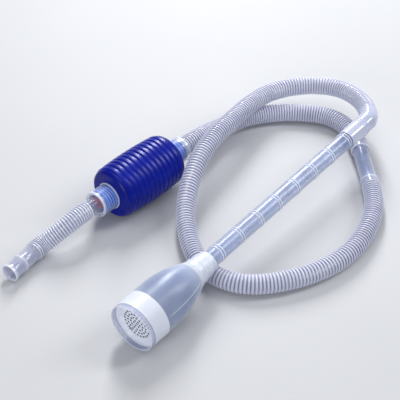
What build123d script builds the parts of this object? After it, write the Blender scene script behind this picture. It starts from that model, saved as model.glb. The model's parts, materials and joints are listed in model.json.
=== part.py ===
from build123d import *
import math
import os

# Gravel vacuum siphon, laid on the floor at z = 0. +X runs along the suction tube from its
# open mouth towards the hose, and +Z is up. Millimetres and degrees.

# Driving dimensions
mouth_x, mouth_y = -198.0, -70.0      # centre of the bell's mouth, in plan
tube_tilt = 2.93                      # the tube rises towards the hose
bell_rim_radius = 24.7
bell_radius = 25.2
bell_wall = 1.7
bell_taper = 24.0                     # the wall widens slightly from the rim to here
bell_straight = 38.0                  # and is straight from there to here
mouth_bore = 23.9                     # relieved bore between the rim and the strainer
mouth_depth = 5.2
bell_length = 85.0
bell_end_radius = 14.6
bell_neck_radius = 11.4
bell_neck_wall = 1.4
bell_neck_length = 12.0
strainer_face = 5.5                   # its front, behind the mouth
strainer_dish = 7.5                   # the bottom of the dish in its middle
strainer_skirt = 24.0
strainer_wall = 1.5
strainer_hole_radius = 1.1
strainer_hole_rings = ((3.6, 6), (7.2, 12), (10.8, 18), (14.4, 24))
adapter_length = 25.0
adapter_engagement = 11.0             # length of tube held in the adapter
tube_radius = 9.0
tube_wall = 1.4
tube_end = 366.0                      # distance from the mouth, along the axis
first_ring_pair = 123.0
ring_pair_pitch = 29.9
ring_pairs_on_tube = 8
ring_gap = 3.3
ring_height = 0.35
ring_width = 1.1
ring_root = 0.3                       # the rings' depth below the tube's surface
hose_radius = 10.0
hose_wall = 1.2
sleeve_start = 336.0
elbow_corner = 381.0
sleeve_bore = 8.4
coupler_radius = 8.4
coupler_wall = 1.4
cuff_lip = 3.0
bulb_x, bulb_y = -32.9, 67.2
bulb_radius = 29.0
bulb_turn = -2.8                      # the bulb's axis, measured from +X
bulb_face = 42.0                      # middle of the bulb to the face of either end
bulb_shoulder = 37.5                  # middle of the bulb to the last rib's edge
bulb_crown = 1.6                      # how much smaller the end ribs are than the middle ones
bulb_ribs = 12
bulb_groove = 0.9
bulb_wall = 2.2
neck_radius = 12.0
neck_bore = 9.4
neck_end = 57.0
seat_top = 58.2
seat_bore = 8.0
seat_flange_radius = 11.4
seat_plug_depth = 8.0
seat_plate = 1.8
disc_radius = 6.5
disc_thickness = 1.2
valve_lift = 2.5
stem_radius = 1.2
stem_head_radius = 1.9
inlet_sleeve_bore = 8.6
outlet_sleeve_radius = 9.0
outlet_sleeve_bore = 7.9
sleeve_flange_radius = 11.6
flange_top = 60.0
washer_radius = 11.7
washer_bore = 10.4
washer_thickness = 1.2
cap_end = 63.0
cap_radius = 13.8
cap_rim_radius = 14.5
cap_end_wall = 0.8                    # the cap's hole is this much wider than the hose
mouthpiece_length = 35.5
mouthpiece_bore = 7.9
running_gap = 0.05

inlet_sleeve_end = 66.0               # middle of the bulb to where the corrugations start
outlet_sleeve_end = 74.0
coupler_start = (168.5, -70.0, hose_radius)
coupler_turn = 225.0
inlet_cuff_ends = (-10.0, 2.0)        # distances along the coupler's axis
main_cuff_ends = (53.0, 61.0)
pipe_ends = (-8.0, 60.0)


def turned(*edges):
    """A solid turned about z, from edges drawn as (radius, height)."""
    return revolve(Plane.XZ * make_face(edges), Axis.Z)


def band(outer, inner, low, high):
    """A plain tube about z between two heights."""
    return Pos(0, 0, low) * extrude(Circle(outer) - Circle(inner), high - low)


def axis_plane(origin, turn, rise=0.0):
    """A plane whose z axis points at the given turn in plan and rise above level."""
    level = math.cos(math.radians(rise))
    direction = (
        level * math.cos(math.radians(turn)),
        level * math.sin(math.radians(turn)),
        math.sin(math.radians(rise)),
    )
    side = (-math.sin(math.radians(turn)), math.cos(math.radians(turn)), 0)
    return Plane(origin=origin, x_dir=side, z_dir=direction)


def along(plane, distance):
    """The point on a plane's z axis at a distance from its origin."""
    return plane.origin + plane.z_dir * distance


mouth_height = bell_rim_radius * math.cos(math.radians(tube_tilt))
suction = axis_plane((mouth_x, mouth_y, mouth_height), 0, tube_tilt)
bulb_centre = (bulb_x, bulb_y, bulb_radius)
inlet = axis_plane(bulb_centre, bulb_turn)
outlet = axis_plane(bulb_centre, bulb_turn + 180)
coupler = axis_plane(coupler_start, coupler_turn)

elbow_point = along(suction, elbow_corner)
first_curl_point = Vector(208, -46, 40)
elbow_leg = 0.4                       # share of that run that belongs to the elbow sleeve
main_hose_start = elbow_point + (first_curl_point - elbow_point) * elbow_leg
main_hose_end = along(coupler, main_cuff_ends[1])
inlet_hose_start = along(inlet, inlet_sleeve_end)
inlet_hose_end = along(coupler, inlet_cuff_ends[0])
outlet_hose_start = along(outlet, outlet_sleeve_end)

# The hoses lie in soft curves, with tighter turns where the real one has them: at the curl behind
# the elbow, beside the neck adapter, before the coupler and at the outlet cap.
main_hose_route = [
    main_hose_start,
    first_curl_point,
    (225, -5, 32),
    (210, 31, 28),
    (175, 54, 29),
    (135, 54, 34),
    (95, 47, 38),
    (55, 41, 41),
    (20, 32, 38),
    (-15, 18, 26),
    (-40, 1, 15),
    (-65, -27, 10),
    (-85, -60, 10),
    (-80, -100, 10),
    (-50, -130, 10),
    (-5, -152, 10),
    (40, -156, 10),
    (85, -143, 10),
    along(coupler, 80),
    main_hose_end,
]
inlet_hose_route = [
    inlet_hose_start,
    along(inlet, 78),
    (65, 64, 26),
    (90, 66, 19),
    (130, 62, 12),
    (160, 46, 10),
    (185, 18, 10),
    (200, -15, 10),
    along(coupler, -28),
    inlet_hose_end,
]
outlet_hose_route = [
    outlet_hose_start,
    along(outlet, 85),
    (-133, 73, 26),
    (-147, 78, 19),
    (-160, 84, 11.5),
    (-172, 83, 11),
]


# Suction head: bell, strainer and adapter, about the tube's axis
def make_bell():
    inner = bell_radius - bell_wall
    neck_inner = bell_neck_radius - bell_neck_wall
    neck_tip = bell_length + bell_neck_length
    inner_end = (bell_end_radius - bell_wall, bell_length - 3.0)
    outer_arc = TangentArc(
        (bell_radius, bell_straight), (bell_end_radius, bell_length), tangent=(0, 1)
    )
    inner_arc = TangentArc((inner, bell_straight), inner_end, tangent=(0, 1))
    return turned(
        Polyline(
            (mouth_bore, 0),
            (bell_rim_radius, 0),
            (bell_radius, bell_taper),
            (bell_radius, bell_straight),
        ),
        outer_arc,
        Polyline(
            (bell_end_radius, bell_length),
            (bell_neck_radius, bell_length),
            (bell_neck_radius, neck_tip),
            (neck_inner, neck_tip),
            (neck_inner, bell_length - 1.2),
            inner_end,
        ),
        inner_arc,
        Polyline(
            (inner, bell_straight),
            (inner, mouth_depth),
            (mouth_bore, mouth_depth),
            (mouth_bore, 0),
        ),
    )


def make_strainer():
    outer = bell_radius - bell_wall - running_gap
    inner = outer - strainer_wall
    dish_rim = 21.0
    dish_floor = 18.5
    back = strainer_dish + strainer_wall
    cup = turned(
        Polyline(
            (0, strainer_dish),
            (dish_floor, strainer_dish),
            (dish_rim, strainer_face),
            (outer, strainer_face),
            (outer, strainer_skirt),
            (inner, strainer_skirt),
            (inner, back),
            (0, back),
            (0, strainer_dish),
        )
    )
    drill = extrude(Circle(strainer_hole_radius), strainer_wall + 2)
    hole = Pos(0, 0, strainer_dish - 1) * drill
    holes = [hole]
    for ring_radius, count in strainer_hole_rings:
        for k in range(count):
            holes.append(Rot(0, 0, 360 * k / count) * Pos(ring_radius, 0, 0) * hole)
    rib_depth = strainer_dish - strainer_face
    rib = Pos(17, 0, strainer_dish - rib_depth / 2 + 0.2) * Box(9, 0.8, rib_depth)
    return cup - holes + Rot(0, 0, -52.5) * rib


def make_neck_adapter():
    start = bell_length
    end = bell_length + adapter_length
    socket = bell_length + bell_neck_length + 0.2
    stop = end - adapter_engagement
    tube_bore = tube_radius + running_gap
    throat = 7.8
    return turned(
        Polyline(
            (bell_neck_radius, start),
            (bell_end_radius, start),
            (13.6, start + 9),
            (13.0, start + 9.6),
            (12.3, start + 18),
            (11.7, start + 18.6),
            (11.2, end - 0.8),
            (10.6, end),
            (tube_bore, end),
            (tube_bore, stop),
            (throat, stop),
            (throat, socket),
            (bell_neck_radius, socket),
            (bell_neck_radius, start),
        )
    )


def ring_pair(radius, centre):
    """Two raised rings side by side on a tube."""
    rings = []
    for side in (-0.5, 0.5):
        low = centre + side * ring_gap - ring_width / 2
        rings.append(band(radius + ring_height, radius - ring_root, low, low + ring_width))
    return rings


def make_straight_tube():
    start = bell_length + adapter_length - adapter_engagement + 0.2
    tube = band(tube_radius, tube_radius - tube_wall, start, tube_end)
    for k in range(ring_pairs_on_tube):
        tube += ring_pair(tube_radius, first_ring_pair + k * ring_pair_pitch)
    return tube


# Hoses and their smooth ends
def tube_along(path, outer, inner):
    """A tube of constant section along a path."""
    section = Circle(outer) - Circle(inner)
    return sweep(Plane(path @ 0, z_dir=path % 0) * section, path)


def make_elbow_sleeve():
    start = along(suction, sleeve_start)
    tube_tip = along(suction, tube_end)
    leg = (main_hose_start - elbow_point).length
    turn = (elbow_point - start).get_angle(main_hose_start - elbow_point)
    share_of_leg = 0.92
    bend_radius = share_of_leg * leg / math.tan(math.radians(turn / 2))
    path = FilletPolyline(tube_tip, elbow_point, main_hose_start, radius=bend_radius)
    bend = tube_along(path, hose_radius, sleeve_bore)
    socket = suction * band(hose_radius, tube_radius, sleeve_start, tube_end)
    last_pair = first_ring_pair + ring_pairs_on_tube * ring_pair_pitch
    rings = [suction * ring for ring in ring_pair(hose_radius, last_pair)]
    print(f"elbow_sleeve bend radius {bend_radius:.0f}")
    return bend + socket + rings


def make_hose(name, route):
    """A hose as a plain tube: straight runs joined by the largest tangent arcs that fit."""
    points = [Vector(*p) for p in route]
    share_of_run = 0.45
    radii = []
    for before, corner, after in zip(points, points[1:], points[2:]):
        shorter = min((corner - before).length, (after - corner).length)
        turn = (corner - before).get_angle(after - corner)
        radii.append(share_of_run * shorter / math.tan(math.radians(turn / 2)))
    path = FilletPolyline(*points, radius=radii)
    hose = tube_along(path, hose_radius, hose_radius - hose_wall)
    section = math.pi * (hose_radius**2 - (hose_radius - hose_wall) ** 2)
    print(f"{name} length {path.length:.0f} radii {[round(r) for r in radii]}")
    print(f"{name} volume / (section x length) {hose.volume / (section * path.length):.4f}")
    return hose


def make_cuff(low, high, lip_low):
    """A hose's smooth end on the coupler, with a lip at its open end."""
    body = band(hose_radius - 0.3, coupler_radius, low, high)
    return body + band(hose_radius, coupler_radius, lip_low, lip_low + cuff_lip)


def make_outlet_mouthpiece():
    end = mouthpiece_length
    outer = 8.7
    bead = 9.5
    lip = 9.4
    return turned(
        Polyline(
            (mouthpiece_bore, 0),
            (lip, 0),
            (outer, 1.5),
            (outer, end - 18.5),
            (bead, end - 17.5),
            (bead, end - 16.2),
            (outer + 0.1, end - 15.2),
            (outer - 0.1, end - 5),
            (lip, end - 1),
            (lip, end),
            (lip - 0.8, end),
            (mouthpiece_bore, end - 4),
            (mouthpiece_bore, 0),
        )
    )


# Bulb and the valve at each end, drawn from the bulb's middle outwards
def crest_radius(height):
    """The barrel that the ribs' crests touch."""
    return bulb_radius - bulb_crown * (height / bulb_shoulder) ** 2


def make_bulb():
    rib_pitch = 2 * bulb_shoulder / bulb_ribs
    ribs = []
    for k in range(bulb_ribs):
        low = -bulb_shoulder + k * rib_pitch
        middle = low + rib_pitch / 2
        high = low + rib_pitch
        foot_low = (crest_radius(low) - bulb_groove, low)
        foot_high = (crest_radius(high) - bulb_groove, high)
        ribs.append(ThreePointArc(foot_low, (crest_radius(middle), middle), foot_high))
    edge = crest_radius(bulb_shoulder) - bulb_groove
    face_radius = edge - 4.5
    corner = (edge - 1.4, bulb_shoulder + 3.1)
    inner = edge - bulb_wall
    inner_face = bulb_face - bulb_wall
    inner_shoulder = bulb_shoulder - 2.0
    top = ThreePointArc((edge, bulb_shoulder), corner, (face_radius, bulb_face))
    bottom = ThreePointArc(
        (face_radius, -bulb_face), (corner[0], -corner[1]), (edge, -bulb_shoulder)
    )
    rest = Polyline(
        (face_radius, bulb_face),
        (neck_radius, bulb_face),
        (neck_radius, neck_end),
        (neck_bore, neck_end),
        (neck_bore, inner_face),
        (face_radius, inner_face),
        (inner, inner_shoulder),
        (inner, -inner_shoulder),
        (face_radius, -inner_face),
        (neck_bore, -inner_face),
        (neck_bore, -neck_end),
        (neck_radius, -neck_end),
        (neck_radius, -bulb_face),
        (face_radius, -bulb_face),
    )
    return turned(*ribs, top, rest, bottom)


def make_valve_seat(plate_low, stem_side):
    """A flanged plug with a spoked plate, and a headed stem on the disc's side of it."""
    land = 5.6
    hub = 2.4
    spoke = 1.6
    plug = band(neck_bore - running_gap, seat_bore, neck_end - seat_plug_depth, neck_end)
    plug += band(seat_flange_radius, seat_bore, neck_end, seat_top)
    windows = band(land, hub, plate_low - 1, plate_low + seat_plate + 1)
    for turn in (0, 90):
        bar = Box(2 * land + 2, spoke, seat_plate + 4)
        windows -= Rot(0, 0, turn) * Pos(0, 0, plate_low + seat_plate / 2) * bar
    web = Pos(0, 0, plate_low) * extrude(Circle(seat_bore + 0.2), seat_plate) - windows
    stem_length = disc_thickness + valve_lift + 0.3
    stem = extrude(Circle(stem_radius), stem_length)
    head = Pos(0, 0, stem_length) * extrude(Circle(stem_head_radius), 1.0)
    pin = stem + head
    if stem_side > 0:
        pin = Pos(0, 0, plate_low + seat_plate) * pin
    else:
        pin = Pos(0, 0, plate_low) * Rot(180, 0, 0) * pin
    return plug + web + pin


def make_valve_disc(low):
    return band(disc_radius, stem_radius + running_gap, low, low + disc_thickness)


def make_hose_sleeve(outer, bore, end):
    """The hose's smooth end, with the flange that the cap clamps and the corrugations' first rib."""
    flange = band(sleeve_flange_radius, bore, seat_top, flange_top)
    rib = band(hose_radius, bore, end - 1.5, end)
    return band(outer, bore, seat_top, end) + flange + rib


def make_washer():
    return band(washer_radius, washer_bore, flange_top, flange_top + washer_thickness)


def make_cap():
    start = bulb_face + 0.3
    bore = neck_radius + running_gap
    shelf = flange_top + washer_thickness
    hole = hose_radius + cap_end_wall
    return turned(
        Polyline(
            (bore, start),
            (cap_rim_radius - 0.5, start),
            (cap_rim_radius, start + 0.6),
            (cap_rim_radius, start + 2.0),
            (cap_radius, start + 2.6),
            (cap_radius - 0.3, cap_end - 2.2),
            (cap_radius, cap_end - 1.6),
            (cap_radius, cap_end - 0.6),
            (cap_radius - 0.7, cap_end),
            (hole, cap_end),
            (hole, shelf),
            (bore, shelf),
            (bore, start),
        )
    )


last_run = Vector(*outlet_hose_route[-1]) - Vector(*outlet_hose_route[-2])
mouthpiece_plane = Plane(origin=outlet_hose_route[-1], z_dir=last_run.normalized())
main_cuff = make_cuff(*main_cuff_ends, lip_low=main_cuff_ends[0])
inlet_cuff = make_cuff(*inlet_cuff_ends, lip_low=inlet_cuff_ends[1] - cuff_lip)
pipe = band(coupler_radius, coupler_radius - coupler_wall, *pipe_ends)
inlet_sleeve = make_hose_sleeve(hose_radius, inlet_sleeve_bore, inlet_sleeve_end)
outlet_sleeve = make_hose_sleeve(outlet_sleeve_radius, outlet_sleeve_bore, outlet_sleeve_end)
outlet_plate_low = seat_top - seat_plate
inlet_plate_low = neck_end - seat_plug_depth

parts = {
    "bell": suction * make_bell(),
    "strainer": suction * make_strainer(),
    "neck_adapter": suction * make_neck_adapter(),
    "straight_tube": suction * make_straight_tube(),
    "elbow_sleeve": make_elbow_sleeve(),
    "main_hose": make_hose("main_hose", main_hose_route),
    "main_hose_cuff": coupler * main_cuff,
    "hose_coupler": coupler * pipe,
    "inlet_hose_cuff": coupler * inlet_cuff,
    "inlet_hose": make_hose("inlet_hose", inlet_hose_route),
    "inlet_hose_sleeve": inlet * inlet_sleeve,
    "inlet_washer": inlet * make_washer(),
    "inlet_cap": inlet * make_cap(),
    "inlet_valve_seat": inlet * make_valve_seat(inlet_plate_low, -1),
    "inlet_valve_disc": inlet * make_valve_disc(inlet_plate_low - disc_thickness),
    "bulb": inlet * make_bulb(),
    "outlet_valve_seat": outlet * make_valve_seat(outlet_plate_low, 1),
    "outlet_valve_disc": outlet * make_valve_disc(seat_top),
    "outlet_washer": outlet * make_washer(),
    "outlet_cap": outlet * make_cap(),
    "outlet_hose_sleeve": outlet * outlet_sleeve,
    "outlet_hose": make_hose("outlet_hose", outlet_hose_route),
    "outlet_mouthpiece": mouthpiece_plane * make_outlet_mouthpiece(),
}

os.makedirs("parts", exist_ok=True)
for name, shape in parts.items():
    shape.label = name
    export_step(shape, f"parts/{name}.step")
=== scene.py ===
import json
import math

import bmesh
import bpy
import numpy as np
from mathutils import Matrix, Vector


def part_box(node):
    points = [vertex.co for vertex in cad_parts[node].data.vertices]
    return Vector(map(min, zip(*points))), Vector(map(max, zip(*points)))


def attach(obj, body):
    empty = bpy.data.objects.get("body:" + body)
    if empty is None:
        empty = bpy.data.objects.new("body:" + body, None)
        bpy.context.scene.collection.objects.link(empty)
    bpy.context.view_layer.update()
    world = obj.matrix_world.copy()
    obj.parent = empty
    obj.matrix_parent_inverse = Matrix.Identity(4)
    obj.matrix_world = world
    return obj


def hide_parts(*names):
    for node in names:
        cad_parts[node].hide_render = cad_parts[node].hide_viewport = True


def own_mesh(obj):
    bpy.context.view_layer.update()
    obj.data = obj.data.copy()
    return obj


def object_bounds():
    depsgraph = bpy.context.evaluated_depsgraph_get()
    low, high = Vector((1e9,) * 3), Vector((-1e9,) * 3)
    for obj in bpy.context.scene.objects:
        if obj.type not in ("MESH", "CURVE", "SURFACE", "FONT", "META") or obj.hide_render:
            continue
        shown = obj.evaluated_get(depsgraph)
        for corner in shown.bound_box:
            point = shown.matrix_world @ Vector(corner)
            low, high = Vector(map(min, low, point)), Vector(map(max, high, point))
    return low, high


# The gravel vacuum siphon's looks, in the CAD model's frame. Lengths are millimetres where a name
# or a list says so through MM, and metres otherwise.
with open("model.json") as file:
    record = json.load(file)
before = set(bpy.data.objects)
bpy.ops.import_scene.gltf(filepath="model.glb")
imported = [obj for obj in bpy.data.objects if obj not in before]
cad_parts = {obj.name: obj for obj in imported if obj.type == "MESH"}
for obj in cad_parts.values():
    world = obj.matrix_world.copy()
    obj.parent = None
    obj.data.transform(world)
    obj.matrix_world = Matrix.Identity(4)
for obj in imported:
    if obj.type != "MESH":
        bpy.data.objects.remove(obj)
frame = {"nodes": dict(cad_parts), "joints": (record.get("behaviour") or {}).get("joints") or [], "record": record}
cad_low, cad_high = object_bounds()
MM = 0.001
HOSE_RADIUS = 10.0
RIB_PITCH = 3.4
INLET_RIB_PITCH = 3.07
OUTLET_RIB_PITCH = 2.75
RIB_DEPTH = 1.15
THREAD_PITCH = 3.0
SLEEVE_START = 336            # from the bell's mouth
SLEEVE_PAIR = 362.2 - SLEEVE_START


# ---------------------------------------------------------------- places taken from the CAD model
def unit(v):
    v = np.array(v, float)
    return v / np.linalg.norm(v)


def joint(name):
    return next(j for j in frame["joints"] if j["name"] == name)


def mount(name):
    return next(m for m in frame["record"]["mounts"] if m["name"] == name)


def middle(node):
    low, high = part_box(node)
    return np.array((low + high) / 2)


def across(direction):
    """Two unit vectors at right angles to a direction, the second one as nearly upright as it can be."""
    level = unit(np.cross([0, 0, 1.0], direction))
    return level, np.cross(direction, level)


mouth = mount("suction_mouth")
suction_axis = -unit(mouth["axis"])
suction_mouth = np.array(mouth["pos_m"]) - suction_axis * mouth["dims"]["length_mm"] * MM / 2
bulb_centre = middle("bulb")
outlet_axis = unit(joint("outlet_cap_turn")["axis"])
inlet_axis = -outlet_axis


def on_tube(distance):
    """A point on the suction tube's axis, that many millimetres from the bell's mouth."""
    return suction_mouth + suction_axis * distance * MM


def on_outlet(distance):
    return bulb_centre + outlet_axis * distance * MM


# ---------------------------------------------------------------- routes, as in the CAD model
# Points with tenths in plan are worked out from the axes of the tube, the coupler, the bulb and the
# mouthpiece. The others are chosen.
elbow_corner = on_tube(381)
main_hose_route = np.array([
    (192.7, -60.4, 42.5), (208, -46, 40), (225, -5, 32), (210, 31, 28), (175, 54, 29),
    (135, 54, 34), (95, 47, 38), (55, 41, 41), (20, 32, 38), (-15, 18, 26), (-40, 1, 15),
    (-65, -27, 10), (-85, -60, 10), (-80, -100, 10), (-50, -130, 10), (-5, -152, 10),
    (40, -156, 10), (85, -143, 10), (111.9, -126.6, 10), (125.4, -113.1, 10),
]) * MM
inlet_hose_route = np.array([
    (33.0, 64.0, 29), (45.0, 63.4, 29), (65, 64, 26), (90, 66, 19), (130, 62, 12),
    (160, 46, 10), (185, 18, 10), (200, -15, 10), (188.3, -50.2, 10), (175.6, -62.9, 10),
]) * MM
outlet_hose_route = np.array([
    tuple(on_outlet(58.2) / MM), (-106.8, 70.8, 29), (-117.8, 71.4, 29), (-133, 73, 26),
    (-147, 78, 19), (-160, 84, 11.5), (-172, 83, 11), (-207.3, 80.1, 9.5),
]) * MM
coupler_axis = unit(main_hose_route[-1] - inlet_hose_route[-1])
coupler_start = inlet_hose_route[-1] + coupler_axis * 10 * MM


# ---------------------------------------------------------------- mesh building
def spline_line(points, resolution=32):
    """Points down the smooth line of a route: a NURBS spline with the route's points as its controls."""
    curve = bpy.data.curves.new("route", "CURVE")
    curve.dimensions = "3D"
    spline = curve.splines.new("NURBS")
    spline.points.add(len(points) - 1)
    for point, place in zip(spline.points, points):
        point.co = (*place, 1.0)
    spline.order_u = 3
    spline.use_endpoint_u = True
    spline.resolution_u = resolution
    holder = bpy.data.objects.new("route", curve)
    mesh = bpy.data.meshes.new_from_object(holder)
    line = np.array([v.co for v in mesh.vertices], float)
    bpy.data.objects.remove(holder)
    bpy.data.curves.remove(curve)
    bpy.data.meshes.remove(mesh)
    return line


def line_length(line):
    return float(np.linalg.norm(np.diff(line, axis=0), axis=1).sum())


def frames_along(line, stations):
    """Places, side and up vectors on a line at distances from its start, without twist."""
    gaps = np.linalg.norm(np.diff(line, axis=0), axis=1)
    line = line[np.concatenate([[True], gaps > 1e-9])]
    along = np.concatenate([[0], np.cumsum(np.linalg.norm(np.diff(line, axis=0), axis=1))])
    tangents = np.gradient(line, along, axis=0)
    place = np.stack([np.interp(stations, along, line[:, k]) for k in range(3)], axis=1)
    ahead = np.stack([np.interp(stations, along, tangents[:, k]) for k in range(3)], axis=1)
    ahead /= np.linalg.norm(ahead, axis=1)[:, None]
    side = np.zeros_like(place)
    side[0] = across(ahead[0])[0]
    for k in range(1, len(place)):
        carried = side[k - 1] - ahead[k] * (side[k - 1] @ ahead[k])
        side[k] = carried / np.linalg.norm(carried)
    return place, side, np.cross(ahead, side)


def skin(name, rings, looped=False, attributes=None):
    """A smooth mesh of quads over rings of points. Attributes hold one value a ring or one a point."""
    count, around, _ = rings.shape
    index = np.arange(count * around).reshape(count, around)
    beside = np.roll(index, -1, axis=1)
    rows = count if looped else count - 1
    above, above_beside = np.roll(index, -1, axis=0), np.roll(beside, -1, axis=0)
    quads = np.stack([index[:rows], beside[:rows], above_beside[:rows], above[:rows]], axis=-1)
    mesh = bpy.data.meshes.new(name)
    mesh.from_pydata(rings.reshape(-1, 3).tolist(), [], quads.reshape(-1, 4).tolist())
    for key, values in (attributes or {}).items():
        values = np.broadcast_to(np.asarray(values, float).reshape(count, -1), (count, around))
        layer = mesh.attributes.new(key, "FLOAT", "POINT")
        layer.data.foreach_set("value", values.reshape(-1).astype(np.float32))
    mesh.update()
    work = bmesh.new()
    work.from_mesh(mesh)
    bmesh.ops.recalc_face_normals(work, faces=work.faces)
    work.to_mesh(mesh)
    work.free()
    mesh.shade_smooth()
    mesh.set_sharp_from_angle(angle=math.radians(48))
    obj = bpy.data.objects.new(name, mesh)
    bpy.context.scene.collection.objects.link(obj)
    return obj


def rounded(points, radius, looped=False, steps=4):
    """An outline with its corners rounded off. A point may carry a radius of its own."""
    points = [tuple(p) for p in points]
    out = []
    count = len(points)
    for k, point in enumerate(points):
        here = np.array(point[:2], float)
        if not looped and k in (0, count - 1):
            out.append(here)
            continue
        before = np.array(points[k - 1][:2], float)
        after = np.array(points[(k + 1) % count][:2], float)
        size = point[2] if len(point) > 2 else radius
        back, on = before - here, after - here
        cut = min(size, 0.48 * np.linalg.norm(back), 0.48 * np.linalg.norm(on))
        if cut < 1e-4:
            out.append(here)
            continue
        start, end = here + unit(back) * cut, here + unit(on) * cut
        for t in np.linspace(0, 1, steps + 1):
            out.append((1 - t) ** 2 * start + 2 * t * (1 - t) * here + t ** 2 * end)
    return np.array(out)


def turned(name, outline, origin, axis, looped=True, around=96, swell=None, angles=None, attributes=None):
    """A mesh turned about an axis, from (radius, distance along the axis) in millimetres.
    swell(radius, height, angle) may add to the radius."""
    outline = np.array(outline, float)
    level, up = across(axis)
    if angles is None:
        angles = np.linspace(0, 2 * math.pi, around, endpoint=False)
    radius = np.repeat(outline[:, :1], len(angles), axis=1)
    height = np.repeat(outline[:, 1:2], len(angles), axis=1)
    angle = np.repeat(angles[None, :], len(outline), axis=0)
    if swell is not None:
        radius = radius + swell(radius, height, angle)
    spoke = np.cos(angle)[..., None] * level + np.sin(angle)[..., None] * up
    rings = origin + (radius[..., None] * spoke + height[..., None] * np.array(axis)) * MM
    return skin(name, rings, looped, {"along": outline[:, 1], **(attributes or {})})


def tube_on_line(name, line, stations, radii, around, looped=False, attributes=None):
    """A mesh tube on a line: one ring for each station, in metres, and radius, in millimetres."""
    order = np.argsort(stations, kind="stable")
    place, side, up = (np.empty((len(stations), 3)) for _ in range(3))
    place[order], side[order], up[order] = frames_along(line, np.asarray(stations)[order])
    angles = np.linspace(0, 2 * math.pi, around, endpoint=False)
    spoke = np.cos(angles)[None, :, None] * side[:, None] + np.sin(angles)[None, :, None] * up[:, None]
    rings = place[:, None] + spoke * np.asarray(radii)[:, None, None] * MM
    return skin(name, rings, looped, attributes)


def rib_shape(phase):
    """1 on the crest of a corrugation and 0 in its groove. The crest is broader than the groove."""
    return (0.5 + 0.5 * np.cos(2 * math.pi * phase)) ** 0.62


def corrugated(length, pitch, crest, depth, plain_start=0.0, plain_end=0.0, samples=8):
    """Stations in metres, radii in millimetres and rib values along a corrugated hose."""
    ribs = round((length / MM - plain_start - plain_end) / pitch)
    pitch = (length / MM - plain_start - plain_end) / ribs
    phase = np.arange(ribs * samples + 1) / samples
    stations = plain_start + phase * pitch
    rib = rib_shape(phase + 0.5)
    return stations * MM, crest - depth * (1 - rib), rib


# ---------------------------------------------------------------- materials
def node(tree, kind, **settings):
    made = tree.nodes.new(kind)
    for key, value in settings.items():
        setattr(made, key, value)
    return made


def new_material(name, roughness=0.3, ior=1.48):
    material = bpy.data.materials.new(name)
    material.use_nodes = True
    tree = material.node_tree
    shader = next(n for n in tree.nodes if n.type == "BSDF_PRINCIPLED")
    shader.inputs["Roughness"].default_value = roughness
    shader.inputs["IOR"].default_value = ior
    place = node(tree, "ShaderNodeTexCoord")
    return material, tree, shader, place.outputs["Object"]


def noise(tree, place, scale, detail=3.0, rough=0.55):
    made = node(tree, "ShaderNodeTexNoise")
    made.inputs["Scale"].default_value = scale
    made.inputs["Detail"].default_value = detail
    made.inputs["Roughness"].default_value = rough
    tree.links.new(place, made.inputs["Vector"])
    return made.outputs["Fac"]


def ramp(tree, value, stops):
    """Colours or numbers at positions from 0 to 1."""
    made = node(tree, "ShaderNodeValToRGB")
    band = made.color_ramp
    while len(band.elements) < len(stops):
        band.elements.new(0.5)
    for element, (position, colour) in zip(band.elements, stops):
        element.position = position
        if not hasattr(colour, "__len__"):
            colour = (colour, colour, colour)
        element.color = (*colour, 1)
    tree.links.new(value, made.inputs["Fac"])
    return made.outputs["Color"]


def spread(tree, value, low, high, low_from=0.0, high_from=1.0):
    made = node(tree, "ShaderNodeMapRange")
    for key, number in (("From Min", low_from), ("From Max", high_from), ("To Min", low), ("To Max", high)):
        made.inputs[key].default_value = number
    tree.links.new(value, made.inputs["Value"])
    return made.outputs["Result"]


def maths(tree, operation, *values):
    made = node(tree, "ShaderNodeMath", operation=operation)
    for socket, value in zip(made.inputs, values):
        if isinstance(value, (int, float)):
            socket.default_value = value
        else:
            tree.links.new(value, socket)
    return made.outputs["Value"]


def blended(tree, share, first, second):
    """Two colours mixed by a share."""
    made = node(tree, "ShaderNodeMix", data_type="RGBA")
    tree.links.new(share, made.inputs["Factor"])
    for socket, value in ((made.inputs[6], first), (made.inputs[7], second)):
        if isinstance(value, tuple):
            socket.default_value = (*value, 1)
        else:
            tree.links.new(value, socket)
    return made.outputs[2]


def attribute(tree, name):
    made = node(tree, "ShaderNodeAttribute", attribute_name=name)
    return made.outputs["Fac"]


def bump(tree, shader, height, strength, distance):
    made = node(tree, "ShaderNodeBump")
    made.inputs["Strength"].default_value = strength
    made.inputs["Distance"].default_value = distance
    tree.links.new(height, made.inputs["Height"])
    tree.links.new(made.outputs["Normal"], shader.inputs["Normal"])


def facing(tree, blend=0.35):
    made = node(tree, "ShaderNodeLayerWeight")
    made.inputs["Blend"].default_value = blend
    return made.outputs["Facing"]


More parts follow.
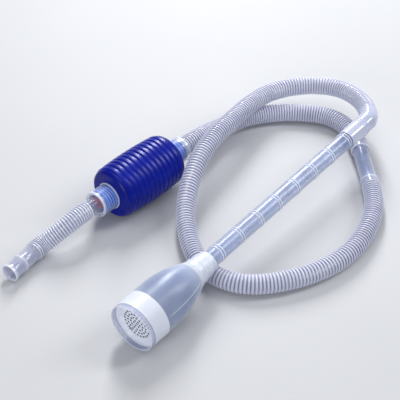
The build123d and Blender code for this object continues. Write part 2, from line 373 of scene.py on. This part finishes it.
def hose_plastic(name, ribbed, crest=(0.78, 0.80, 0.94), groove=(0.07, 0.085, 0.24), thin=0.54, thick=0.84,
                 veiled=False):
    """Milky, slightly blue soft PVC, denser on the ribs and thinner between them. Its colour holds painted light:
    the rib crests are whiter, partly for their thicker wall and partly as a painted highlight, the grooves are
    dark as painted shade, and the grooves are painted paler where the surface is seen edge on, a painted edge
    brightening.
    """
    material, tree, shader, place = new_material(name, roughness=0.16)
    cloud = noise(tree, place, 70, 4)
    fine = noise(tree, place, 900, 2)
    share = attribute(tree, "rib") if ribbed else spread(tree, cloud, 0.62, 1.0, 0.3, 0.7)
    share = maths(tree, "MULTIPLY", share, spread(tree, cloud, 0.84, 1.0, 0.3, 0.7))
    turned_away = facing(tree, 0.3)
    in_grooves = maths(tree, "SUBTRACT", 1.0, share)
    # Painted edge brightening: the grooves' colour turns paler where the surface is seen edge on.
    painted_edge_light = maths(tree, "MULTIPLY", in_grooves, spread(tree, turned_away, 0.0, 0.72, 0.12, 0.5))
    colour_share = maths(tree, "ADD", share, painted_edge_light)
    # Painted shade in the grooves and painted highlight on the rib crests.
    tree.links.new(blended(tree, colour_share, groove, crest), shader.inputs["Base Color"])
    edge = maths(tree, "MULTIPLY", turned_away, 0.3)
    body = maths(tree, "MINIMUM", maths(tree, "ADD", spread(tree, share, thin, thick), edge), 1.0)
    if veiled:
        body = maths(tree, "MULTIPLY", body, attribute(tree, "veil"))
    tree.links.new(body, shader.inputs["Alpha"])
    tree.links.new(spread(tree, fine, 0.11, 0.22, 0.3, 0.7), shader.inputs["Roughness"])
    shader.inputs["Specular IOR Level"].default_value = 0.8
    bump(tree, shader, fine, 0.04, 0.0002)
    return material


def clear_plastic(name, tint, open_alpha, edge_alpha, rough=(0.20, 0.28), rings=False):
    """Clear, faintly blue rigid plastic, denser where it is seen edge on. Its colour is painted whiter where it is
    seen edge on, a painted reflection, and painted near white on its raised rings, a painted highlight.
    """
    material, tree, shader, place = new_material(name, roughness=0.1, ior=1.5)
    cloud = noise(tree, place, 45, 3)
    fine = noise(tree, place, 500, 2)
    pale = tuple(min(1.0, c * 1.3) for c in tint)
    white = tuple(min(1.0, c * 0.4 + 0.6) for c in tint)
    turned_away = facing(tree, 0.22)
    body = ramp(tree, cloud, [(0.3, tint), (0.7, pale)])
    # Painted reflection: the colour turns white where the surface is seen edge on.
    colour = blended(tree, spread(tree, turned_away, 0.0, 1.0, 0.12, 0.6), body, white)
    alpha = spread(tree, turned_away, open_alpha, edge_alpha)
    alpha = maths(tree, "MULTIPLY", alpha, spread(tree, cloud, 0.85, 1.15, 0.3, 0.7))
    if rings:
        ring = attribute(tree, "ring")
        # Painted highlight: the raised rings are painted near white.
        colour = blended(tree, ring, colour, (0.86, 0.89, 0.97))
        alpha = maths(tree, "ADD", alpha, maths(tree, "MULTIPLY", ring, 0.6))
    alpha = maths(tree, "MULTIPLY", maths(tree, "MINIMUM", alpha, 1.0), attribute(tree, "veil"))
    tree.links.new(colour, shader.inputs["Base Color"])
    tree.links.new(alpha, shader.inputs["Alpha"])
    tree.links.new(spread(tree, fine, *rough, 0.3, 0.7), shader.inputs["Roughness"])
    shader.inputs["Specular IOR Level"].default_value = 0.6
    return material


def bell_plastic():
    """Frosted blue-white plastic, clear in front of the strainer and white where its skirt backs it. Its colour is
    painted paler where it is seen edge on, a painted reflection.
    """
    material, tree, shader, place = new_material("bell_plastic", ior=1.5)
    cloud = noise(tree, place, 22, 4)
    fine = noise(tree, place, 700, 3)
    zone = spread(tree, attribute(tree, "along"), 0, 1, 0, 100)
    body = ramp(tree, zone, [
        (0.0, (0.84, 0.87, 0.98)), (0.012, (0.50, 0.54, 0.74)), (0.048, (0.50, 0.54, 0.74)),
        (0.056, (0.84, 0.87, 0.97)), (0.238, (0.84, 0.87, 0.97)), (0.245, (0.30, 0.37, 0.56)),
        (0.60, (0.27, 0.34, 0.54)), (0.78, (0.46, 0.53, 0.72)), (0.86, (0.80, 0.84, 0.92)),
    ])
    mottled = blended(tree, spread(tree, cloud, 0.0, 0.42, 0.35, 0.7), body, (0.62, 0.69, 0.87))
    turned_away = facing(tree, 0.3)
    # Painted reflection: the colour turns paler where the surface is seen edge on.
    pale = blended(tree, spread(tree, turned_away, 0.0, 0.75, 0.3, 0.8), mottled, (0.80, 0.84, 0.94))
    seam_line = attribute(tree, "seam")
    pale = blended(tree, maths(tree, "MULTIPLY", seam_line, 0.8), pale, (0.85, 0.89, 0.97))
    tree.links.new(pale, shader.inputs["Base Color"])
    density = ramp(tree, zone, [
        (0.0, 0.70), (0.014, 0.34), (0.048, 0.34), (0.056, 0.78), (0.238, 0.78), (0.245, 0.46),
        (0.8, 0.58), (0.86, 0.85),
    ])
    alpha = maths(tree, "ADD", density, maths(tree, "MULTIPLY", turned_away, 0.45))
    alpha = maths(tree, "ADD", alpha, maths(tree, "MULTIPLY", seam_line, 0.3))
    tree.links.new(maths(tree, "MINIMUM", alpha, 1.0), shader.inputs["Alpha"])
    tree.links.new(spread(tree, fine, 0.26, 0.40, 0.3, 0.7), shader.inputs["Roughness"])
    bump(tree, shader, fine, 0.10, 0.00025)
    return material


def white_plastic():
    material, tree, shader, place = new_material("white_plastic", ior=1.5)
    cloud = noise(tree, place, 120, 3)
    fine = noise(tree, place, 1200, 2)
    colour = ramp(tree, cloud, [(0.3, (0.60, 0.65, 0.78)), (0.7, (0.72, 0.76, 0.86))])
    tree.links.new(colour, shader.inputs["Base Color"])
    tree.links.new(spread(tree, fine, 0.25, 0.42, 0.3, 0.7), shader.inputs["Roughness"])
    shader.inputs["Subsurface Weight"].default_value = 0.15
    shader.inputs["Subsurface Radius"].default_value = (1.0, 1.0, 1.2)
    shader.inputs["Subsurface Scale"].default_value = 0.002
    bump(tree, shader, fine, 0.12, 0.0002)
    return material


def strainer_plastic():
    """White plastic with painted shade in its drilled holes: the hole walls, which face across the axis near it,
    are coloured dark.
    """
    material, tree, shader, place = new_material("strainer_plastic", ior=1.5)
    geometry = node(tree, "ShaderNodeNewGeometry")

    def vector_maths(operation, first, second):
        made = node(tree, "ShaderNodeVectorMath", operation=operation)
        for socket, value in ((made.inputs[0], first), (made.inputs[1], second)):
            if isinstance(value, tuple):
                socket.default_value = value
            else:
                tree.links.new(value, socket)
        return made

    axis = tuple(float(x) for x in suction_axis)
    middle_of_mouth = tuple(float(x) for x in suction_mouth)
    from_mouth = vector_maths("SUBTRACT", geometry.outputs["Position"], middle_of_mouth)
    crossed = vector_maths("CROSS_PRODUCT", from_mouth.outputs["Vector"], axis)
    from_axis = node(tree, "ShaderNodeVectorMath", operation="LENGTH")
    tree.links.new(crossed.outputs["Vector"], from_axis.inputs[0])
    ahead = vector_maths("DOT_PRODUCT", geometry.outputs["True Normal"], axis).outputs["Value"]
    sideways = maths(tree, "LESS_THAN", maths(tree, "ABSOLUTE", ahead), 0.4)
    near_axis = maths(tree, "LESS_THAN", from_axis.outputs["Value"], 0.0157)
    # Painted shade: the hole walls, facing across the axis near it, are coloured dark.
    painted_hole_shade = maths(tree, "MULTIPLY", sideways, near_axis)
    cloud = noise(tree, place, 120, 3)
    fine = noise(tree, place, 1200, 2)
    colour = ramp(tree, cloud, [(0.3, (0.72, 0.76, 0.88)), (0.7, (0.84, 0.87, 0.95))])
    tree.links.new(blended(tree, painted_hole_shade, colour, (0.10, 0.11, 0.20)), shader.inputs["Base Color"])
    tree.links.new(spread(tree, fine, 0.28, 0.44, 0.3, 0.7), shader.inputs["Roughness"])
    bump(tree, shader, fine, 0.10, 0.0002)
    return material


def bulb_rubber(name, dark, light, crest_highlight, crest_highlight_share=0.35):
    """Deep blue rubber with a satin gloss, painted paler on the crests of its ribs and threads as a painted
    highlight.
    """
    material, tree, shader, place = new_material(name, ior=1.45)
    cloud = noise(tree, place, 60, 4)
    fine = noise(tree, place, 1500, 3)
    deep = ramp(tree, cloud, [(0.3, dark), (0.7, light)])
    # Painted highlight: the crests are blended toward a paler blue.
    crest = spread(tree, attribute(tree, "rib"), 0.0, crest_highlight_share)
    tree.links.new(blended(tree, crest, deep, crest_highlight), shader.inputs["Base Color"])
    tree.links.new(spread(tree, fine, 0.24, 0.36, 0.3, 0.7), shader.inputs["Roughness"])
    shader.inputs["Specular IOR Level"].default_value = 0.26
    bump(tree, shader, fine, 0.10, 0.0002)
    return material


def solid_material(name, dark, light, rough, scale=200, depth=0.15):
    """An opaque moulded material with gentle mottling and a fine grain."""
    material, tree, shader, place = new_material(name)
    cloud = noise(tree, place, scale, 3)
    fine = noise(tree, place, 1500, 2)
    tree.links.new(ramp(tree, cloud, [(0.3, dark), (0.7, light)]), shader.inputs["Base Color"])
    tree.links.new(spread(tree, fine, rough - 0.08, rough + 0.08, 0.3, 0.7), shader.inputs["Roughness"])
    bump(tree, shader, fine, depth, 0.0002)
    return material


ribbed_hose = hose_plastic("hose_ribbed", True)
outlet_hose_look = hose_plastic(
    "hose_outlet", True, (0.78, 0.81, 0.94), (0.26, 0.29, 0.46), 0.55, 0.88, veiled=True,
)
smooth_hose = hose_plastic("hose_smooth", False, thin=0.5, thick=0.75)
cuff_look = hose_plastic("hose_cuff", True, (0.74, 0.78, 0.93), (0.34, 0.39, 0.56), 0.36, 0.84)
sleeve_look = hose_plastic("hose_double_wall", True, (0.72, 0.76, 0.92), (0.36, 0.40, 0.60), 0.50, 0.82)
tube_look = clear_plastic("tube_plastic", (0.26, 0.33, 0.55), 0.50, 0.92, rings=True)
coupler_look = clear_plastic("coupler_plastic", (0.30, 0.37, 0.60), 0.46, 0.90)
cap_look = clear_plastic("cap_plastic", (0.45, 0.55, 0.86), 0.12, 0.6, rings=True)
bell_look = bell_plastic()
white_look = white_plastic()
bulb_look = bulb_rubber("bulb_rubber", (0.0, 0.003, 0.18), (0.0, 0.008, 0.27), (0.0, 0.014, 0.36))
# The neck's thread crests get the full bright blue: a painted highlight.
neck_look = bulb_rubber("neck_rubber", (0.0, 0.02, 0.34), (0.005, 0.06, 0.55), (0.20, 0.42, 1.0), 1.0)
seat_look = solid_material("seat_plastic", (0.02, 0.07, 0.42), (0.04, 0.12, 0.60), 0.35)
disc_look = solid_material("disc_rubber", (0.70, 0.03, 0.06), (0.90, 0.09, 0.14), 0.5)
washer_look = solid_material("washer_rubber", (0.55, 0.58, 0.66), (0.72, 0.75, 0.82), 0.55)


def place_piece(piece, look, slot, body, *nodes):
    """Gives a piece its material and the body that it rides on; its slot in the record is not used."""
    piece.data.materials.clear()
    piece.data.materials.append(look)
    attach(piece, body)
    if nodes:
        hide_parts(*nodes)
    return piece


# ---------------------------------------------------------------- suction head
def arc_radius(start, end, s):
    """Radius at s on an arc that leaves start along the axis and passes through end."""
    drop, run = start[0] - end[0], end[1] - start[1]
    size = (drop ** 2 + run ** 2) / (2 * drop)
    return start[0] - size + np.sqrt(size ** 2 - (np.asarray(s) - start[1]) ** 2)


def bell_outline():
    out_s = np.linspace(38, 84.2, 34)
    in_s = np.linspace(81, 38, 30)
    outer = np.stack([arc_radius((25.2, 38), (14.6, 85), out_s), out_s], axis=1)
    inner = np.stack([arc_radius((23.5, 38), (13.0, 82), in_s), in_s], axis=1)
    rim = rounded([(23.9, 3), (23.9, 0, 0.4), (24.7, 0, 0.4), (24.76, 3)], 0.4)
    wall = np.array([
        (24.84, 6), (24.93, 10), (25.03, 15), (25.12, 19.5), (25.19, 23.5), (25.2, 24.5), (25.2, 31),
    ])
    neck = rounded([
        (14.85, 84.2), (14.55, 85, 0.4), (11.4, 85, 0.4), (11.4, 97, 0.3), (10.0, 97, 0.3),
        (10.0, 83.8, 0.6), (13.0, 82, 0.8), (13.3, 81),
    ], 0.3)
    seat = rounded([(23.5, 37), (23.5, 5.2, 0.1), (23.9, 5.2, 0.1), (23.9, 3)], 0.1)
    return np.concatenate([rim[:-1], wall, outer[:-1], neck[:-1], inner, seat[:-1]])


SEAM_ANGLE = math.radians(-20)


def seam_angles(around=160, close=9):
    """Angles round the bell, closer together at its two mould seams."""
    even = np.linspace(0, 2 * math.pi, around, endpoint=False)
    near = np.linspace(-0.03, 0.03, close)
    sides = [SEAM_ANGLE, SEAM_ANGLE + math.pi]
    seams = np.concatenate([(side + near) % (2 * math.pi) for side in sides])
    return np.sort(np.unique(np.concatenate([even, seams]).round(6)))


def seam_share(height, angle, radius):
    """1 on the middle of the fine raised line that the mould leaves on both sides of the bell."""
    away = np.abs((angle - SEAM_ANGLE + math.pi / 2) % math.pi - math.pi / 2)
    ends = np.clip((height - 25) / 4, 0, 1) * np.clip((82 - height) / 8, 0, 1)
    return np.exp(-((away * radius) / 0.35) ** 2) * ends


def seam_swell(radius, height, angle):
    return np.where(radius > 14.4, 0.25 * seam_share(height, angle, radius), 0.0)


bell_profile = bell_outline()
bell_angles = seam_angles()
seam = seam_share(bell_profile[:, 1:2], bell_angles[None, :], bell_profile[:, :1])
bell = turned(
    "bell_shell", bell_profile, suction_mouth, suction_axis, swell=seam_swell, angles=bell_angles,
    attributes={"seam": seam},
)
place_piece(bell, bell_look, "bell_plastic", "suction_head", "bell")

adapter_outline = rounded([
    (11.42, 85.05), (14.5, 85.05, 0.5), (14.55, 86.6, 0.5), (13.95, 87.3, 0.4), (13.45, 92.4, 0.4),
    (13.65, 93.0, 0.3), (13.6, 94.2, 0.3), (12.95, 94.8, 0.4), (12.6, 96.4, 0.4), (12.5, 101.2, 0.4),
    (12.6, 101.8, 0.3), (12.4, 103.0, 0.3), (11.75, 103.6, 0.4), (11.5, 105.2, 0.4), (11.35, 108.0, 0.3),
    (11.4, 108.6, 0.3), (11.1, 109.6, 0.4), (10.6, 110, 0.3), (9.1, 110, 0.2), (9.1, 99, 0.1),
    (7.8, 99, 0.1), (7.8, 97.3, 0.1), (11.42, 97.3, 0.1),
], 0.3, looped=True)
adapter = turned("neck_collar", adapter_outline, suction_mouth, suction_axis)
place_piece(adapter, white_look, "white_plastic", "suction_head", "neck_adapter")


# ---------------------------------------------------------------- straight tube and its sleeve
def ring_pair_bumps(s, centre, height=0.38, width=0.62, gap=3.3):
    """How much a pair of raised rings adds to a tube's radius."""
    return sum(height * np.exp(-(((s - centre - side * gap / 2) / width) ** 2)) for side in (-1, 1))


def ring_share(s, centres):
    """1 on a raised ring and 0 between the rings."""
    return np.clip(sum(ring_pair_bumps(s, c, 1.0, 0.42) for c in centres), 0, 1)


def outer_wall(outline, radius):
    """1 on the outer wall and little on the inner one, which would double every clear surface."""
    return np.where(outline[:, 0] > radius, 1.0, 0.12)


def ringed_stations(start, end, centres, step=2.0):
    """Distances along a tube, closer together at its rings."""
    near = np.linspace(-4.2, 4.2, 43)
    picked = np.concatenate([np.arange(start, end, step), [end]] + [c + near for c in centres])
    return np.unique(np.clip(picked, start, end).round(4))


tube_pairs = [123 + 29.9 * k for k in range(8)]
tube_s = ringed_stations(99.3, 365.9, tube_pairs)
tube_r = 9.0 + sum(ring_pair_bumps(tube_s, c) for c in tube_pairs)
tube_outline = np.concatenate([
    np.stack([tube_r, tube_s], axis=1),
    [(8.7, 366), (7.7, 366), (7.6, 365.8), (7.6, 99.4), (7.7, 99.25), (8.9, 99.2)],
])
# The ring value marks the raised ring pairs, which the clear material paints near white as a painted highlight.
tube_ring = np.concatenate([ring_share(tube_s, tube_pairs), np.zeros(6)])
tube = turned(
    "straight_tube_clear", tube_outline, suction_mouth, suction_axis, around=72,
    attributes={"ring": tube_ring, "veil": outer_wall(tube_outline, 8.3)},
)
place_piece(tube, tube_look, "clear_plastic", "root", "straight_tube")

sleeve_route = [on_tube(SLEEVE_START), on_tube(352), on_tube(368), elbow_corner, main_hose_route[0]]
sleeve_line = spline_line(sleeve_route)
sleeve_length = line_length(sleeve_line) / MM
sleeve_s = ringed_stations(0, sleeve_length, [SLEEVE_PAIR], 0.6)
sleeve_fade = np.clip((sleeve_s - 34) / max(sleeve_length - 34, 1), 0, 1)
sleeve_wave = np.cos(2 * math.pi * sleeve_s / RIB_PITCH)
sleeve_r = 9.9 + ring_pair_bumps(sleeve_s, SLEEVE_PAIR, 0.4) - 0.35 * sleeve_fade * (1 - sleeve_wave) / 2
sleeve_r[0] = 9.6
# Rib value along the sleeve: high at its start over the double wall, then a ripple that the hose material paints
# as a painted highlight on the crests and painted shade in the grooves, and the ring pair at its fullest as a
# painted highlight.
sleeve_white = np.interp(sleeve_s, [0, 1, 24, 30], [0.9, 0.72, 0.66, 0.42]) + 0.2 * sleeve_fade * sleeve_wave
sleeve_white = np.maximum(sleeve_white, ring_share(sleeve_s, [SLEEVE_PAIR]))
inner_s = sleeve_s[::-4]
sleeve = tube_on_line(
    "elbow_sleeve_soft", sleeve_line, np.concatenate([sleeve_s, inner_s]) * MM,
    np.concatenate([sleeve_r, np.where(inner_s < 30, 9.02, 8.5)]), 64, looped=True,
    attributes={"rib": np.concatenate([sleeve_white, np.full(len(inner_s), 0.35)])},
)
place_piece(sleeve, sleeve_look, "hose_plastic", "root", "elbow_sleeve")

# ---------------------------------------------------------------- the two long hoses
main_line = spline_line(main_hose_route)
stations, radii, rib = corrugated(line_length(main_line), RIB_PITCH, HOSE_RADIUS, RIB_DEPTH)
main_hose = tube_on_line("main_hose_ribbed", main_line, stations, radii, 40, attributes={"rib": rib})
place_piece(main_hose, ribbed_hose, "hose_plastic", "root", "main_hose")

inlet_line = spline_line(inlet_hose_route)
stations, radii, rib = corrugated(line_length(inlet_line), INLET_RIB_PITCH, HOSE_RADIUS, RIB_DEPTH)
inlet_hose = tube_on_line("inlet_hose_ribbed", inlet_line, stations, radii, 48, attributes={"rib": rib})
place_piece(inlet_hose, ribbed_hose, "hose_plastic", "root", "inlet_hose")

# ---------------------------------------------------------------- coupler and cuffs
pipe = rounded([(7.0, -8), (8.4, -8), (8.4, 60), (7.0, 60)], 0.4, looped=True)
pipe = np.concatenate([pipe[:10], np.stack([np.full(20, 8.4), np.linspace(-6, 58, 20)], axis=1), pipe[10:]])
coupler = turned(
    "coupler_pipe", pipe, coupler_start, coupler_axis, around=64, attributes={"veil": outer_wall(pipe, 7.7)},
)
place_piece(coupler, coupler_look, "clear_plastic", "root", "hose_coupler")


def cuff_outline(open_end, other_end):
    """A hose's smooth end on the coupler, with a thicker lip at its open end."""
    sign = 1 if other_end > open_end else -1
    return rounded([
        (8.42, open_end, 0.2), (9.7, open_end, 0.4), (10.0, open_end + sign * 0.7, 0.3),
        (10.0, open_end + sign * 2.4, 0.4), (9.6, open_end + sign * 3.2, 0.5), (9.5, other_end, 0.2),
        (8.42, other_end, 0.2),
    ], 0.3, looped=True)


def cuff_piece(name, open_end, other_end, node_name):
    """A cuff, whiter at its lip."""
    outline = cuff_outline(open_end, other_end)
    lip = np.clip(1.6 - np.abs(outline[:, 1] - open_end) / 2.4, 0.3, 1.0)
    cuff = turned(name, outline, coupler_start, coupler_axis, around=64, attributes={"rib": lip})
    return place_piece(cuff, cuff_look, "hose_plastic", "root", node_name)


inlet_cuff = cuff_piece("inlet_hose_end", 2, -10, "inlet_hose_cuff")
main_cuff = cuff_piece("main_hose_end", 53, 61, "main_hose_cuff")


# ---------------------------------------------------------------- bulb, necks and caps
def bulb_outline():
    """The bulb's body from one neck to the other: twelve rounded ribs between soft shoulders."""
    h = np.linspace(-37.5, 37.5, 12 * 14 + 1)
    place = ((h + 37.5) / 6.25) % 1.0
    dip = np.abs(2 * place - 1) ** 4
    r = 29 - 1.6 * (h / 37.5) ** 2 - 0.9 * dip
    edge = r[0]
    t = np.linspace(0, math.pi / 2, 12)[1:]
    shoulder = np.stack([edge - 4.5 + 4.5 * np.cos(t), 37.5 + 4.5 * np.sin(t)], axis=1)
    face = np.array([(20, 42), (16, 42), (13.2, 42), (12.2, 42)])
    ends = np.concatenate([shoulder, face])
    low_end = ends[::-1] * (1, -1)
    body = np.stack([r, h], axis=1)
    rib = np.concatenate([np.zeros(len(ends)), 1 - dip, np.zeros(len(ends))])
    return np.concatenate([low_end, body, ends]), rib


outline, rib = bulb_outline()
bulb = turned(
    "bulb_body", outline, bulb_centre, outlet_axis, looped=False, around=128, attributes={"rib": rib},
)
place_piece(bulb, bulb_look, "bulb_rubber", "root", "bulb")
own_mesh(bulb)


def thread(radius, height, angle):
    """A screw thread on a neck: crests on a helix."""
    crest = 0.5 + 0.5 * np.cos(2 * math.pi * (height / THREAD_PITCH) - angle)
    on_thread = np.clip((np.minimum(height - 44, 56 - height)) / 1.0, 0, 1)
    return np.where(radius > 11, (crest ** 2 - 1) * 0.55 * on_thread, 0.0)


def neck_piece(name, axis, body):
    h = np.linspace(41.6, 56.6, 90)
    outline = np.concatenate([
        np.stack([np.full(90, 11.95), h], axis=1), [(11.7, 57), (9.6, 57), (9.45, 56.8), (9.45, 41.6)],
    ])
    turns = np.linspace(0, 2 * math.pi, 72, endpoint=False)
    crest = 0.5 + 0.5 * np.cos(2 * math.pi * (outline[:, 1:2] / THREAD_PITCH) - turns[None, :])
    neck = turned(name, outline, bulb_centre, axis, around=72, swell=thread, attributes={"rib": crest})
    return place_piece(neck, neck_look, "bulb_rubber", body)


neck_piece("bulb_inlet_neck", inlet_axis, "root")
neck_piece("bulb_outlet_neck", outlet_axis, "outlet_end")

cap_outline = rounded([
    (12.06, 42.3, 0.3), (14.0, 42.3, 0.4), (14.5, 42.9, 0.4), (14.5, 44.3, 0.4), (13.85, 44.9, 0.4),
    (13.55, 60.6, 0.4), (13.8, 61.4, 0.4), (13.8, 62.4, 0.4), (13.2, 63, 0.4), (10.85, 63, 0.3),
    (10.85, 61.25, 0.1), (12.06, 61.25, 0.2),
], 0.3, looped=True)
# The ring value marks the cap's rims, which the clear material paints near white as a painted highlight.
cap_ring = np.interp(cap_outline[:, 1], [42.3, 44.3, 45.2, 60.4, 61.2, 63], [0.8, 0.8, 0.0, 0.0, 0.7, 0.7])
cap_ring *= cap_outline[:, 0] > 13
for side, axis in (("inlet", inlet_axis), ("outlet", outlet_axis)):
    cap = turned(
        side + "_cap_clear", cap_outline, bulb_centre, axis, around=96,
        attributes={"ring": cap_ring, "veil": outer_wall(cap_outline, 12.5)},
    )
    place_piece(cap, cap_look, "clear_plastic", side + "_cap", side + "_cap")

# ---------------------------------------------------------------- outlet hose, end to end
outlet_line = spline_line(outlet_hose_route)
outlet_length = line_length(outlet_line)
mouthpiece = np.array([
    (9.6, 0), (8.75, 1.6), (8.7, 8), (8.7, 16.4), (9.0, 17.3), (9.4, 18.0), (9.5, 18.6), (9.4, 19.2),
    (9.0, 19.9), (8.8, 20.6), (8.7, 25.3), (8.62, 30.4), (8.95, 32.4), (9.35, 33.8), (9.42, 34.6),
    (9.35, 35.2), (9.05, 35.5), (8.7, 35.45), (8.35, 34.9), (8.0, 33), (7.9, 30.8), (7.85, 17), (7.9, 1),
])
# The mouthpiece's raised beads get the full crest colour: a painted highlight, as on the hose ribs.
mouthpiece_white = np.interp(
    mouthpiece[:, 1], [0, 16.4, 17.6, 19.6, 21, 31, 34, 35.5], [0.5, 0.4, 1, 1, 0.4, 0.35, 1, 1],
)
mouthpiece_white[-3:] = 0.3
smooth_end = 35.5
sleeve_part = np.array([
    (11.55, 0.05), (11.6, 0.3), (11.6, 1.5), (11.4, 1.8), (9.3, 1.85), (9.02, 2.2), (9.0, 8), (9.0, 14.6),
])
sleeve_white = np.array([0.9, 0.9, 0.9, 0.8, 0.2, 0.15, 0.15, 0.2])
stations, radii, rib = corrugated(outlet_length, OUTLET_RIB_PITCH, 9.9, 1.0, 15.4, smooth_end)
last = outlet_length / MM - smooth_end
inside = np.arange(last - 1, 1, -1.2)
outlet_stations = np.concatenate([
    sleeve_part[:, 1] * MM, stations, (last + mouthpiece[:, 1]) * MM, inside * MM, [0.05 * MM],
])
outlet_radii = np.concatenate([sleeve_part[:, 0], radii, mouthpiece[:, 0], np.full(len(inside), 8.0), [8.0]])
outlet_veil = np.concatenate([
    [0.7, 0.7, 0.6, 0.6, 0.42, 0.40, 0.42, 0.5], np.ones(len(rib)),
    np.interp(mouthpiece[:, 1], [0, 2, 33, 35], [1, 0.75, 0.75, 1]),
    np.interp(inside, [0, 13, 17, 200], [0.35, 0.35, 0.8, 0.8]), [0.35],
])
outlet_rib = np.concatenate([sleeve_white, rib, mouthpiece_white, np.full(len(inside), 0.0), [0.0]])
outlet_hose = tube_on_line(
    "outlet_hose_ribbed", outlet_line, np.minimum(outlet_stations, outlet_length), outlet_radii, 64,
    looped=True, attributes={"rib": outlet_rib, "veil": outlet_veil},
)
place_piece(
    outlet_hose, outlet_hose_look, "hose_plastic", "outlet_end", "outlet_hose", "outlet_hose_sleeve",
    "outlet_mouthpiece",
)

# ---------------------------------------------------------------- CAD nodes that keep their shape
carried = {
    "strainer": (strainer_plastic(), "white_plastic"),
    "inlet_hose_sleeve": (smooth_hose, "hose_plastic"),
    "inlet_washer": (washer_look, "washer_rubber"),
    "outlet_washer": (washer_look, "washer_rubber"),
    "inlet_valve_seat": (seat_look, "seat_plastic"),
    "outlet_valve_seat": (seat_look, "seat_plastic"),
    "inlet_valve_disc": (disc_look, "disc_rubber"),
    "outlet_valve_disc": (disc_look, "disc_rubber"),
}
for name, (look, slot) in carried.items():
    carried_node = frame["nodes"][name]
    carried_node.data.materials.clear()
    carried_node.data.materials.append(look)


# ---------------------------------------------------------------- floor, lights and camera
def add_floor():
    mesh = bpy.data.meshes.new("floor")
    size = 6.0
    mesh.from_pydata(
        [(-size, -size, -0.0002), (size, -size, -0.0002), (size, size, -0.0002), (-size, size, -0.0002)],
        [], [(0, 1, 2, 3)],
    )
    floor = bpy.data.objects.new("floor", mesh)
    bpy.context.scene.collection.objects.link(floor)
    material, tree, shader, place = new_material("floor_paper", roughness=0.6)
    cloud = noise(tree, place, 3, 2)
    tree.links.new(
        ramp(tree, cloud, [(0.3, (0.50, 0.51, 0.53)), (0.7, (0.53, 0.54, 0.56))]), shader.inputs["Base Color"]
    )
    floor.data.materials.append(material)


def add_light(name, place, target, size, power, colour=(1, 1, 1)):
    data = bpy.data.lights.new(name, "AREA")
    data.shape = "RECTANGLE"
    data.size, data.size_y = size
    data.energy = power
    data.color = colour
    lamp = bpy.data.objects.new(name, data)
    lamp.location = place
    lamp.rotation_euler = (Vector(target) - Vector(place)).to_track_quat("-Z", "Y").to_euler()
    bpy.context.scene.collection.objects.link(lamp)


def add_camera():
    centre = (cad_low + cad_high) / 2
    target = Vector((centre.x - 0.0082, centre.y + 0.0507, 0))
    rise, distance = math.radians(40), 1.35
    heading = math.atan2(0.639, 0.769)
    back = Vector((-math.cos(heading) * math.cos(rise), -math.sin(heading) * math.cos(rise), math.sin(rise)))
    data = bpy.data.cameras.new("camera")
    data.lens = 117
    data.sensor_width = 36
    camera = bpy.data.objects.new("camera", data)
    camera.location = target + back * distance
    camera.rotation_euler = (-back).to_track_quat("-Z", "Y").to_euler()
    bpy.context.scene.collection.objects.link(camera)
    bpy.context.scene.camera = camera


add_floor()
scene_middle = Vector((0, 0, 0.02))
add_light("key", scene_middle + Vector((0.589, 0.505, 0.631)) * 2.2, scene_middle, (0.4, 1.2), 44)
add_light("second", scene_middle + Vector((0.589, -0.467, 0.659)) * 2.2, scene_middle, (0.4, 1.2), 20)
add_light("overhead", (-0.1, 0, 2.2), (-0.1, 0, 0), (1.6, 1.6), 12)
add_light("front", (-1.9, -0.5, 0.8), (-0.1, 0, 0.02), (1.0, 0.8), 16)
add_camera()

world = bpy.data.worlds.new("studio")
bpy.context.scene.world = world
world.use_nodes = True
world.node_tree.nodes["Background"].inputs["Color"].default_value = (0.86, 0.89, 1.0, 1)
world.node_tree.nodes["Background"].inputs["Strength"].default_value = 0.26
bpy.context.scene.view_settings.view_transform = "Standard"
